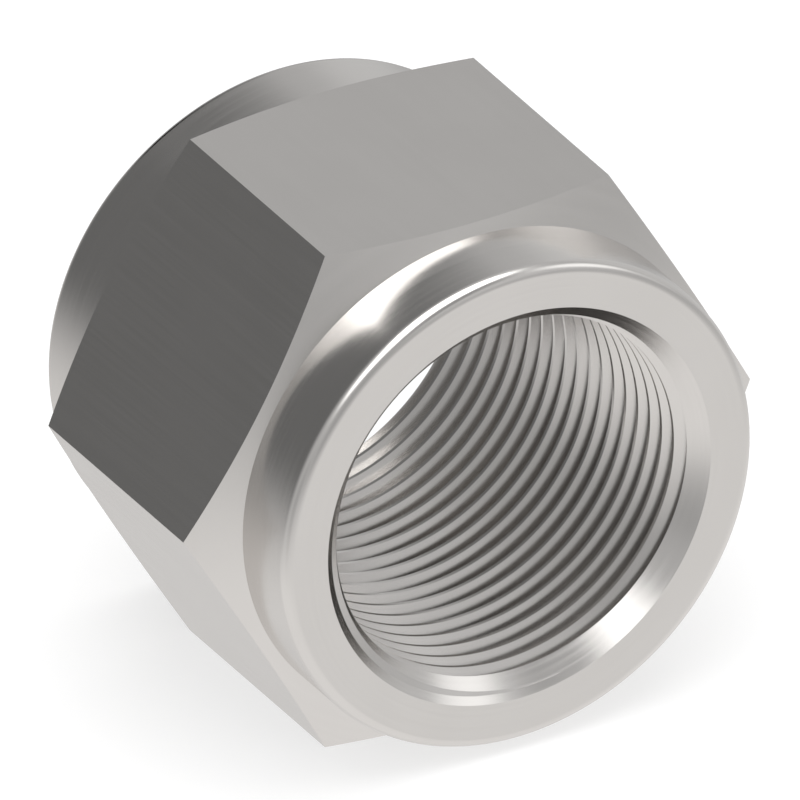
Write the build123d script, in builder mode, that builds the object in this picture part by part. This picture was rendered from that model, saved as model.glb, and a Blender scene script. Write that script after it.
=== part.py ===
from build123d import *
import math
import os

# Tube nut: a hexagon between two plain round collars, bored right through for a pipe thread.
# The bore axis lies along X, and the origin is on it, midway between the two end faces.
# One flat of the hexagon faces up and the opposite one faces down, so the nut lies on a flat.
# Lengths are in millimetres and angles in degrees.

# Thread: parallel pipe thread G 1 1/4, right-handed, with a 55 degree profile
thread_diameter = 41.91  # across the roots, which are in the nut
thread_pitch = 25.4 / 11  # 11 turns to the inch
thread_depth_in_pitches = 0.640327  # the profile's depth, as a share of its pitch

# Mouths: a cone at each end of the bore that leads the pipe in
mouth_allowance = 1.0  # the cone's wide end is this much larger than the thread's roots
mouth_half_angle = 45.0

# Hexagon
across_flats = 55.0
hexagon_length = 30.2  # along the axis, at the foot of its end cones
hexagon_corners = 6
corner_cone_angle = 20.0  # the end cones' slope from the plane of the end face

# Collars
flat_step = 1.25  # the flats stand out this far from the collars
collar_length = 8.25
rim_radius = 1.1  # round on the outer edge of each end face

# Sizes worked out from those above
bore_diameter = thread_diameter - 2 * thread_depth_in_pitches * thread_pitch
mouth_diameter = thread_diameter + mouth_allowance
mouth_depth = (mouth_diameter - bore_diameter) / 2 / math.tan(math.radians(mouth_half_angle))
collar_diameter = across_flats - 2 * flat_step
overall_length = hexagon_length + 2 * collar_length
across_corners = across_flats / math.cos(math.pi / hexagon_corners)

# The turned blank is a little wider than the corners, so the hexagon alone sets their height.
blank_clearance = 0.5
blank_radius = across_corners / 2 + blank_clearance
cone_length = (blank_radius - collar_diameter / 2) * math.tan(math.radians(corner_cone_angle))

# The rim's round takes at most half of the end face's wall.
end_wall = (collar_diameter - mouth_diameter) / 2
rim_round = min(rim_radius, end_wall / 2)

# The nut is a turned blank that the hexagon is milled from.
with BuildPart() as tube_nut:
    # Half of the turned section on the +X side, with the radius along +Y, then its mirror image
    with BuildSketch(Plane.XY):
        with BuildLine():
            Polyline(
                (0, bore_diameter / 2),
                (overall_length / 2 - mouth_depth, bore_diameter / 2),
                (overall_length / 2, mouth_diameter / 2),
                (overall_length / 2, collar_diameter / 2),
                (hexagon_length / 2, collar_diameter / 2),
                (hexagon_length / 2 - cone_length, blank_radius),
                (0, blank_radius),
                close=True,
            )
        section = make_face()
        rim = section.vertices().group_by(Axis.X)[-1].sort_by(Axis.Y)[-1]
        fillet(rim, radius=rim_round)
        mirror(about=Plane.YZ)
    revolve(axis=Axis.X)

    # The hexagon's corners lie along +Y and -Y, and two of its flats face +Z and -Z.
    with BuildSketch(Plane.YZ):
        RegularPolygon(across_flats / 2, hexagon_corners, major_radius=False)
    extrude(amount=overall_length / 2, both=True, mode=Mode.INTERSECT)

tube_nut.part.label = "tube_nut"

os.makedirs("parts", exist_ok=True)
export_step(tube_nut.part, "parts/tube_nut.step")
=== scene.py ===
import math

import bpy
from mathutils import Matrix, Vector


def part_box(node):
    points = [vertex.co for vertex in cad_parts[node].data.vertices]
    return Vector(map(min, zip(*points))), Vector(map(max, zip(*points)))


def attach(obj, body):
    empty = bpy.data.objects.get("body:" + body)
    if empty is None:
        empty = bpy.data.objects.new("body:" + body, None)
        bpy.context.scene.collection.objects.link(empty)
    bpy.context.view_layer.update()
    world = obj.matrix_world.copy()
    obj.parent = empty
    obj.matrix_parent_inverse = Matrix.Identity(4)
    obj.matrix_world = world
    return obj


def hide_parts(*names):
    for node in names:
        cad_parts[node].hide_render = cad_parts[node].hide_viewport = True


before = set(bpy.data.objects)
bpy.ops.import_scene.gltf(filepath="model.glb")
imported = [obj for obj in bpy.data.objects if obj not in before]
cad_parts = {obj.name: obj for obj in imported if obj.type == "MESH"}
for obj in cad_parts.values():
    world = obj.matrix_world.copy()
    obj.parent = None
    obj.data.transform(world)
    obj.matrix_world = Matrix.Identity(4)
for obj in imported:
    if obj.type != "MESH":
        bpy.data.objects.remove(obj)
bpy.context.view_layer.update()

# A tube nut. The solid gives its outline, and here its bore gets the thread.
# Lengths of the nut are in millimetres. Its axis is X, and angles round it start at +Y.
MM = 0.001

nut_low, nut_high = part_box("tube_nut")
HALF_LENGTH = nut_high[0] / MM
HALF_FLATS = nut_high[2] / MM
HALF_HEXAGON = 30.2 / 2
CORNER_CONE = math.radians(20)
COLLAR_RADIUS = 52.5 / 2
RIM_ROUND = 1.1

# Thread: right-handed, with straight flanks and almost sharp roots
PITCH = 25.4 / 11
CREST_RADIUS = 38.48 / 2
CREST_HALF_WIDTH = PITCH / 12
FLANK_ANGLE = math.radians(30)
ROOT_ROUND = 0.02 * PITCH
SHARP_DEPTH = (PITCH / 2 - CREST_HALF_WIDTH) / math.tan(FLANK_ANGLE)
ROOT_RADIUS = CREST_RADIUS + SHARP_DEPTH - ROOT_ROUND * (1 / math.sin(FLANK_ANGLE) - 1)
LEAD = PITCH / (2 * math.pi)
# Where the middle of a crest lies along the axis, on the side towards +Y
CREST_PLACE = 1.3215

# Each mouth is a 45 degree cone, a little wider than the thread at the end face.
MOUTH_RADIUS = (41.91 + 1.0) / 2

# How finely the round forms are cut
COLUMNS = 360
RIM_STEPS = 8
ROOT_STEPS = 2
# Points that round to the same step of this fineness are one point.
STEPS_PER_MM = 1e5
# What counts as nothing: a distance from a cut, a distance from an end face, and an angle in radians
NO_DISTANCE = 1e-9
NO_DEPTH = 1e-6
NO_ANGLE = 1e-7

# Soft lights: longitude and latitude of the middle, where the edge starts and ends, all in degrees,
# and strength, fitted to what the steel shows. Longitude runs from +X towards +Y. Those with a
# strength below zero are dark cards.
SOFT_LIGHTS = (
    (-22.2, 83.2, 19.8, 30.6, 4.0),
    (-46.7, 50.3, 8.2, 27.6, 2.34),
    (58.3, 31.3, 9.6, 18.6, 0.77),
    (-136.7, 19.8, 17.4, 56.7, -0.39),
    (175.7, 25.5, 13.1, 22.1, -0.39),
    (69.8, 11.5, 5.6, 14.6, 0.18),
    (-59.2, -8.8, 11.7, 20.7, -0.1),
    (-14.9, 78.4, 17.4, 26.4, -1.53),
    (165.6, -38.6, 32.2, 53.5, -0.14),
    (-16.0, 10.3, 15.3, 24.3, -0.08),
    (113.6, 12.7, 26.1, 35.1, 0.15),
    (27.2, 37.8, 24.3, 42.9, 0.14),
    (6.9, 51.5, 16.4, 25.4, -0.21),
    (167.0, -38.0, 6.0, 20.0, -0.11),
    (140.0, -50.0, 8.0, 22.0, 0.05),
    (-7.1, 49.7, 18.5, 27.5, -0.18),
)
ROOM = (0.559, 0.560, 0.560, 1.0)
GROUND = (0.995, 0.984, 0.976, 1.0)
# The ground's white starts and is full at these heights of the unit direction.
GROUND_START = -0.037
GROUND_FULL = -0.675

# The floor takes the shadow with its colour. Its glow, for the camera alone, makes up the rest to white.
FLOOR_COLOUR = 0.4
FLOOR_GLOW = 0.64
FLOOR_HALF_METRES = 2.0

# The steel between its duller and its brighter marks
DULL_STEEL = (0.660, 0.641, 0.622, 1.0)
BRIGHT_STEEL = (0.680, 0.661, 0.642, 1.0)
LEAST_ROUGHNESS, MOST_ROUGHNESS = 0.20, 0.24
# The marks: how many to a millimetre across the grain and to a metre along it, how far their
# pattern is turned, in radians, and how deep they are, in millimetres
MARKS_ACROSS = 2.6
MARKS_ALONG = 60
MARKS_TURN = 0.8
MARK_DEPTH = 0.0015
PATCHES_PER_METRE = 90.0
# The levels of noise that give the least and the most: for the marks, and for marks and patches added
MARKS_LOW, MARKS_HIGH = 0.3, 0.7
BOTH_LOW, BOTH_HIGH = 0.7, 1.3

# The camera: its angles in degrees, and in millimetres the picture's width and middle, and how far
# the camera stands from that middle
VIEW_AZIMUTH, VIEW_ELEVATION = 60, 30
VIEW_WIDTH = 77.62
VIEW_MIDDLE = (7.380, -4.173, 5.165)
VIEW_DISTANCE = 500


def thread_profile():
    """One pitch of the thread: place on the axis, radius, and the normal's parts along and outwards."""
    flank_along = math.cos(FLANK_ANGLE)
    flank_outwards = -math.sin(FLANK_ANGLE)
    rows = [
        (-CREST_HALF_WIDTH, CREST_RADIUS, 0.0, -1.0),
        (CREST_HALF_WIDTH, CREST_RADIUS, 0.0, -1.0),
        (CREST_HALF_WIDTH, CREST_RADIUS, flank_along, flank_outwards),
    ]
    reach = math.pi / 2 - FLANK_ANGLE
    for step in range(ROOT_STEPS + 1):
        turn = -reach + 2 * reach * step / ROOT_STEPS
        x = PITCH / 2 + ROOT_ROUND * math.sin(turn)
        radius = ROOT_RADIUS - ROOT_ROUND * (1 - math.cos(turn))
        rows.append((x, radius, -math.sin(turn), -math.cos(turn)))
    rows.append((PITCH - CREST_HALF_WIDTH, CREST_RADIUS, -flank_along, flank_outwards))
    return rows


class Skin:
    """Polygons on shared points, with a normal and a grain distance at each corner."""

    def __init__(self):
        self.points = []
        self.known = {}
        self.faces = []
        self.normals = []
        self.grain = []

    def point(self, place):
        key = tuple(round(value * STEPS_PER_MM) for value in place)
        if key not in self.known:
            self.known[key] = len(self.points)
            self.points.append(place)
        return self.known[key]

    def add(self, corners):
        """Adds a polygon, anticlockwise from outside. Corners that fall together count once."""
        ring = []
        for place, normal, grain in corners:
            index = self.point(place)
            if not ring or ring[-1][0] != index:
                ring.append((index, normal, grain))
        if ring[0][0] == ring[-1][0]:
            ring.pop()
        if len(ring) < 3:
            return
        self.faces.append([index for index, normal, grain in ring])
        self.normals.extend(normal for index, normal, grain in ring)
        self.grain.extend(grain for index, normal, grain in ring)


def round_corner(phi, x, radius, along, outwards, grain, sideways=0.0):
    """A corner at an angle round the axis. Its normal is given along the axis, outwards and sideways."""
    c, s = math.cos(phi), math.sin(phi)
    normal = Vector((along, outwards * c - sideways * s, outwards * s + sideways * c)).normalized()
    return (x, radius * c, radius * s), tuple(normal), grain


def split(polygon, side):
    """Cuts a polygon where side changes sign. Gives the part where it is above zero, and the rest."""
    values = [side(corner) for corner in polygon]
    values = [0.0 if abs(value) < NO_DISTANCE else value for value in values]
    above, below = [], []
    for i, corner in enumerate(polygon):
        after = (i + 1) % len(polygon)
        if values[i] >= 0:
            above.append(corner)
        if values[i] <= 0:
            below.append(corner)
        if values[i] * values[after] < 0:
            share = values[i] / (values[i] - values[after])
            crossing = tuple(a + share * (b - a) for a, b in zip(corner, polygon[after]))
            above.append(crossing)
            below.append(crossing)
    some_above, some_below = max(values, default=0) > 0, min(values, default=0) < 0
    return (above if some_above else []), (below if some_below else [])


def cone_radius(x, end):
    """The radius of a mouth's cone. The end is 1 towards +X and -1 towards -X."""
    return MOUTH_RADIUS - HALF_LENGTH + end * x


def trim(cell):
    """Cuts a cell of the thread at the end faces and cones. Gives parts with their cone's end, or 0."""
    for end in (1, -1):
        cell, _ = split(cell, lambda corner: HALF_LENGTH - end * corner[1])
    for end in (1, -1):
        cell, cone = split(cell, lambda corner: corner[2] - cone_radius(corner[1], end))
        if cone:
            yield cone, end
    if cell:
        yield cell, 0


def bore(skin, columns):
    """The thread, cut off by a cone at each mouth."""
    profile = thread_profile()
    lengths = [0.0]
    for before, after in zip(profile, profile[1:]):
        lengths.append(lengths[-1] + math.hypot(after[0] - before[0], after[1] - before[1]))
    bands = [k for k in range(len(profile) - 1) if lengths[k + 1] > lengths[k]]
    first = math.floor((-HALF_LENGTH - CREST_PLACE) / PITCH) - 2
    last = math.ceil((HALF_LENGTH - CREST_PLACE) / PITCH) + 1
    for left, right in zip(columns, columns[1:]):
        for turn in range(first, last + 1):
            for k in bands:
                cell = []
                for phi, row in ((left, k), (right, k), (right, k + 1), (left, k + 1)):
                    along_axis, radius, along, outwards = profile[row]
                    x = CREST_PLACE + turn * PITCH + along_axis + LEAD * phi
                    cell.append((phi, x, radius, along, outwards, turn * lengths[-1] + lengths[row]))
                for part, end in trim(cell):
                    skin.add(reversed([bore_corner(corner, end) for corner in part]))


def bore_corner(corner, end):
    """A corner of the thread, or of a mouth's cone where end is 1 or -1."""
    phi, x, radius, along, outwards, grain = corner
    if end:
        radius = cone_radius(x, end)
        return round_corner(phi, x, radius, end, -1, radius * math.sqrt(2))
    return round_corner(phi, x, radius, along, outwards, grain, -along * LEAD / radius)


def outline(phi):
    """The outside at an angle round the axis, in bands from a mouth's edge to the hexagon's end."""
    from_flat = (phi + math.pi / 6) % (math.pi / 3) - math.pi / 6
    hexagon = HALF_FLATS / math.cos(math.pi / 6 - abs(from_flat))
    cone_end = HALF_HEXAGON - (hexagon - COLLAR_RADIUS) * math.tan(CORNER_CONE)
    along, outwards = math.cos(CORNER_CONE), math.sin(CORNER_CONE)
    rim_x, rim_radius = HALF_LENGTH - RIM_ROUND, COLLAR_RADIUS - RIM_ROUND
    rim = []
    for step in range(RIM_STEPS + 1):
        turn = math.pi / 2 * step / RIM_STEPS
        c, s = math.cos(turn), math.sin(turn)
        rim.append((rim_x + RIM_ROUND * c, rim_radius + RIM_ROUND * s, c, s))
    return [
        [(HALF_LENGTH, MOUTH_RADIUS, 1, 0), (HALF_LENGTH, rim_radius, 1, 0)],
        rim,
        [(rim_x, COLLAR_RADIUS, 0, 1), (HALF_HEXAGON, COLLAR_RADIUS, 0, 1)],
        [(HALF_HEXAGON, COLLAR_RADIUS, along, outwards), (cone_end, hexagon, along, outwards)],
    ]


def body(skin, columns):
    """The end faces, rims, collars, corner cones and flats."""
    mouth_angles = {1: [], -1: []}
    for x, y, z in skin.points:
        if abs(abs(x) - HALF_LENGTH) < NO_DEPTH:
            mouth_angles[1 if x > 0 else -1].append(math.atan2(z, y) % (2 * math.pi))
    for left, right in zip(columns, columns[1:]):
        bands = list(zip(outline(left), outline(right)))
        for end in (1, -1):
            after_left, before_right = left + NO_ANGLE, right - NO_ANGLE
            between = sorted(phi for phi in mouth_angles[end] if after_left < phi < before_right)
            for number, (near, far) in enumerate(bands):
                on_face = number == 0
                for i in range(len(near) - 1):
                    ring = [(left, near[i]), (left, near[i + 1]), (right, far[i + 1]), (right, far[i])]
                    if on_face:
                        ring += [(phi, near[i]) for phi in reversed(between)]
                    corners = []
                    for phi, (x, radius, along, outwards) in ring:
                        grain = radius if on_face else x
                        corners.append(round_corner(phi, end * x, radius, end * along, outwards, grain))
                    skin.add(corners[::end])
        flat(skin, left, right, bands[-1][0][-1][:2], bands[-1][1][-1][:2])


def flat(skin, left, right, left_edge, right_edge):
    """A strip of one of the hexagon's flats, from end to end."""
    facing = (math.floor((left + right) / 2 / (math.pi / 3)) + 0.5) * math.pi / 3
    normal = (0.0, math.cos(facing), math.sin(facing))
    corners = []
    for phi, (x, radius), end in (
        (left, left_edge, 1),
        (left, left_edge, -1),
        (right, right_edge, -1),
        (right, right_edge, 1),
    ):
        place = (end * x, radius * math.cos(phi), radius * math.sin(phi))
        corners.append((place, normal, radius * math.sin(phi - facing)))
    skin.add(corners)


def nut_mesh():
    """The whole nut as one closed mesh, in metres."""
    columns = [2 * math.pi * i / COLUMNS for i in range(COLUMNS + 1)]
    skin = Skin()
    bore(skin, columns)
    body(skin, columns)
    mesh = bpy.data.meshes.new("threaded_nut")
    mesh.from_pydata([[MM * value for value in point] for point in skin.points], [], skin.faces)
    mesh.shade_smooth()
    mesh.normals_split_custom_set(skin.normals)
    grain = mesh.attributes.new("grain", "FLOAT", "CORNER")
    grain.data.foreach_set("value", skin.grain)
    return mesh


def add_node(tree, kind, inputs, **settings):
    """A node with its own settings. An input is a value, or a socket that is linked to it."""
    node = tree.nodes.new(kind)
    for name, value in settings.items():
        setattr(node, name, value)
    for place, value in inputs.items():
        if isinstance(value, bpy.types.NodeSocket):
            tree.links.new(value, node.inputs[place])
        else:
            node.inputs[place].default_value = value
    return node


def soft_step(tree, value, start, end, at_start, at_end):
    """A smooth step of a value from one level to another."""
    limits = {"Value": value, "From Min": start, "From Max": end, "To Min": at_start, "To Max": at_end}
    node = add_node(tree, "ShaderNodeMapRange", limits, interpolation_type="SMOOTHSTEP")
    return node.outputs["Result"]


def mix(tree, factor, first, second):
    """A mix of two colours: the first at 0, the second at 1. Its colour sockets are 6, 7 and 2."""
    node = add_node(tree, "ShaderNodeMix", {0: factor}, data_type="RGBA")
    for place, colour in ((6, first), (7, second)):
        if isinstance(colour, bpy.types.NodeSocket):
            tree.links.new(colour, node.inputs[place])
        else:
            node.inputs[place].default_value = colour
    return node.outputs[2]


def bare_steel():
    """Bright bare steel. Faint tool marks run round the turned faces and along the flats."""
    material = bpy.data.materials.new("bare_steel")
    material.use_nodes = True
    tree = material.node_tree
    shader = tree.nodes["Principled BSDF"]
    shader.inputs["Metallic"].default_value = 1.0

    # Marks lie close together across the grain, and each is long and slowly changes along it.
    across = add_node(tree, "ShaderNodeAttribute", {}, attribute_name="grain").outputs["Fac"]
    place = add_node(tree, "ShaderNodeTexCoord", {}).outputs["Object"]
    turned = {"Vector": place, "Rotation": (0, 0, MARKS_TURN), "Scale": (MARKS_ALONG,) * 3}
    along = add_node(tree, "ShaderNodeMapping", turned).outputs["Vector"]
    lines = add_node(tree, "ShaderNodeMath", {0: across, 1: MARKS_ACROSS}, operation="MULTIPLY")
    lines = add_node(tree, "ShaderNodeCombineXYZ", {"X": lines.outputs["Value"]}).outputs["Vector"]
    spot = add_node(tree, "ShaderNodeVectorMath", {0: along, 1: lines}, operation="ADD")
    noise = {"Vector": spot.outputs["Vector"], "Scale": 1.0, "Detail": 3.0}
    marks = add_node(tree, "ShaderNodeTexNoise", noise).outputs["Fac"]
    noise = {"Vector": place, "Scale": PATCHES_PER_METRE, "Detail": 2.0}
    patches = add_node(tree, "ShaderNodeTexNoise", noise).outputs["Fac"]

    roughness = soft_step(tree, marks, MARKS_LOW, MARKS_HIGH, LEAST_ROUGHNESS, MOST_ROUGHNESS)
    tree.links.new(roughness, shader.inputs["Roughness"])
    both = add_node(tree, "ShaderNodeMath", {0: marks, 1: patches}, operation="ADD").outputs["Value"]
    tone = soft_step(tree, both, BOTH_LOW, BOTH_HIGH, 0.0, 1.0)
    tree.links.new(mix(tree, tone, DULL_STEEL, BRIGHT_STEEL), shader.inputs["Base Color"])
    relief = {"Height": marks, "Strength": 1.0, "Distance": MARK_DEPTH * MM}
    bump = add_node(tree, "ShaderNodeBump", relief)
    tree.links.new(bump.outputs["Normal"], shader.inputs["Normal"])
    return material


def studio():
    """White for the camera. For the metal, soft lights in a grey room over a white ground."""
    world = bpy.data.worlds.new("studio")
    bpy.context.scene.world = world
    world.use_nodes = True
    tree = world.node_tree
    direction = add_node(tree, "ShaderNodeTexCoord", {}).outputs["Generated"]
    height = add_node(tree, "ShaderNodeSeparateXYZ", {0: direction}).outputs["Z"]
    ground = soft_step(tree, height, GROUND_FULL, GROUND_START, 1.0, 0.0)
    light = mix(tree, ground, ROOM, GROUND)
    for longitude, latitude, inner, outer, strength in SOFT_LIGHTS:
        turn, tilt = math.radians(longitude), math.radians(latitude)
        middle = (math.cos(turn) * math.cos(tilt), math.sin(turn) * math.cos(tilt), math.sin(tilt))
        pair = {0: direction, 1: middle}
        cosine = add_node(tree, "ShaderNodeVectorMath", pair, operation="DOT_PRODUCT")
        angle = add_node(tree, "ShaderNodeMath", {0: cosine.outputs["Value"]}, operation="ARCCOSINE")
        start, end = math.radians(inner), math.radians(outer)
        glow = soft_step(tree, angle.outputs["Value"], start, end, strength, 0.0)
        total = add_node(tree, "ShaderNodeVectorMath", {0: light, 1: glow}, operation="ADD")
        light = total.outputs["Vector"]
    seen = add_node(tree, "ShaderNodeLightPath", {}).outputs["Is Camera Ray"]
    shown = mix(tree, seen, light, (1.0, 1.0, 1.0, 1.0))
    tree.links.new(shown, tree.nodes["Background"].inputs["Color"])


def floor():
    """A white floor that takes the shadow. In its place the metal shows the studio's white ground."""
    half, height = FLOOR_HALF_METRES, -HALF_FLATS * MM
    mesh = bpy.data.meshes.new("floor")
    sides = ((-half, -half), (half, -half), (half, half), (-half, half))
    corners = [(x, y, height) for x, y in sides]
    mesh.from_pydata(corners, [], [(0, 1, 2, 3)])
    plane = bpy.data.objects.new("floor", mesh)
    bpy.context.scene.collection.objects.link(plane)
    plane.visible_glossy = False
    material = bpy.data.materials.new("white_floor")
    material.use_nodes = True
    tree = material.node_tree
    shader = tree.nodes["Principled BSDF"]
    shader.inputs["Base Color"].default_value = (FLOOR_COLOUR, FLOOR_COLOUR, FLOOR_COLOUR, 1.0)
    shader.inputs["Roughness"].default_value = 1.0
    shader.inputs["Specular IOR Level"].default_value = 0.0
    shader.inputs["Emission Color"].default_value = (1.0, 1.0, 1.0, 1.0)
    seen = add_node(tree, "ShaderNodeLightPath", {}).outputs["Is Camera Ray"]
    glow = add_node(tree, "ShaderNodeMath", {0: seen, 1: FLOOR_GLOW}, operation="MULTIPLY")
    tree.links.new(glow.outputs["Value"], shader.inputs["Emission Strength"])
    mesh.materials.append(material)


def camera():
    """A parallel view from above, beside the nut's axis."""
    azimuth, elevation = math.radians(VIEW_AZIMUTH), math.radians(VIEW_ELEVATION)
    back = Vector(
        (
            math.sin(azimuth) * math.cos(elevation),
            -math.cos(azimuth) * math.cos(elevation),
            math.sin(elevation),
        )
    )
    data = bpy.data.cameras.new("camera")
    data.type = "ORTHO"
    data.ortho_scale = VIEW_WIDTH * MM
    data.clip_start, data.clip_end = 0.01, 5.0
    eye = bpy.data.objects.new("camera", data)
    eye.location = (Vector(VIEW_MIDDLE) + back * VIEW_DISTANCE) * MM
    eye.rotation_mode = "QUATERNION"
    eye.rotation_quaternion = (-back).to_track_quat("-Z", "Y")
    bpy.context.scene.collection.objects.link(eye)
    bpy.context.scene.camera = eye


nut = bpy.data.objects.new("threaded_nut", nut_mesh())
bpy.context.scene.collection.objects.link(nut)
nut.data.materials.append(bare_steel())
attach(nut, "root")
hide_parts("tube_nut")

studio()
floor()
camera()
bpy.context.scene.view_settings.view_transform = "Standard"
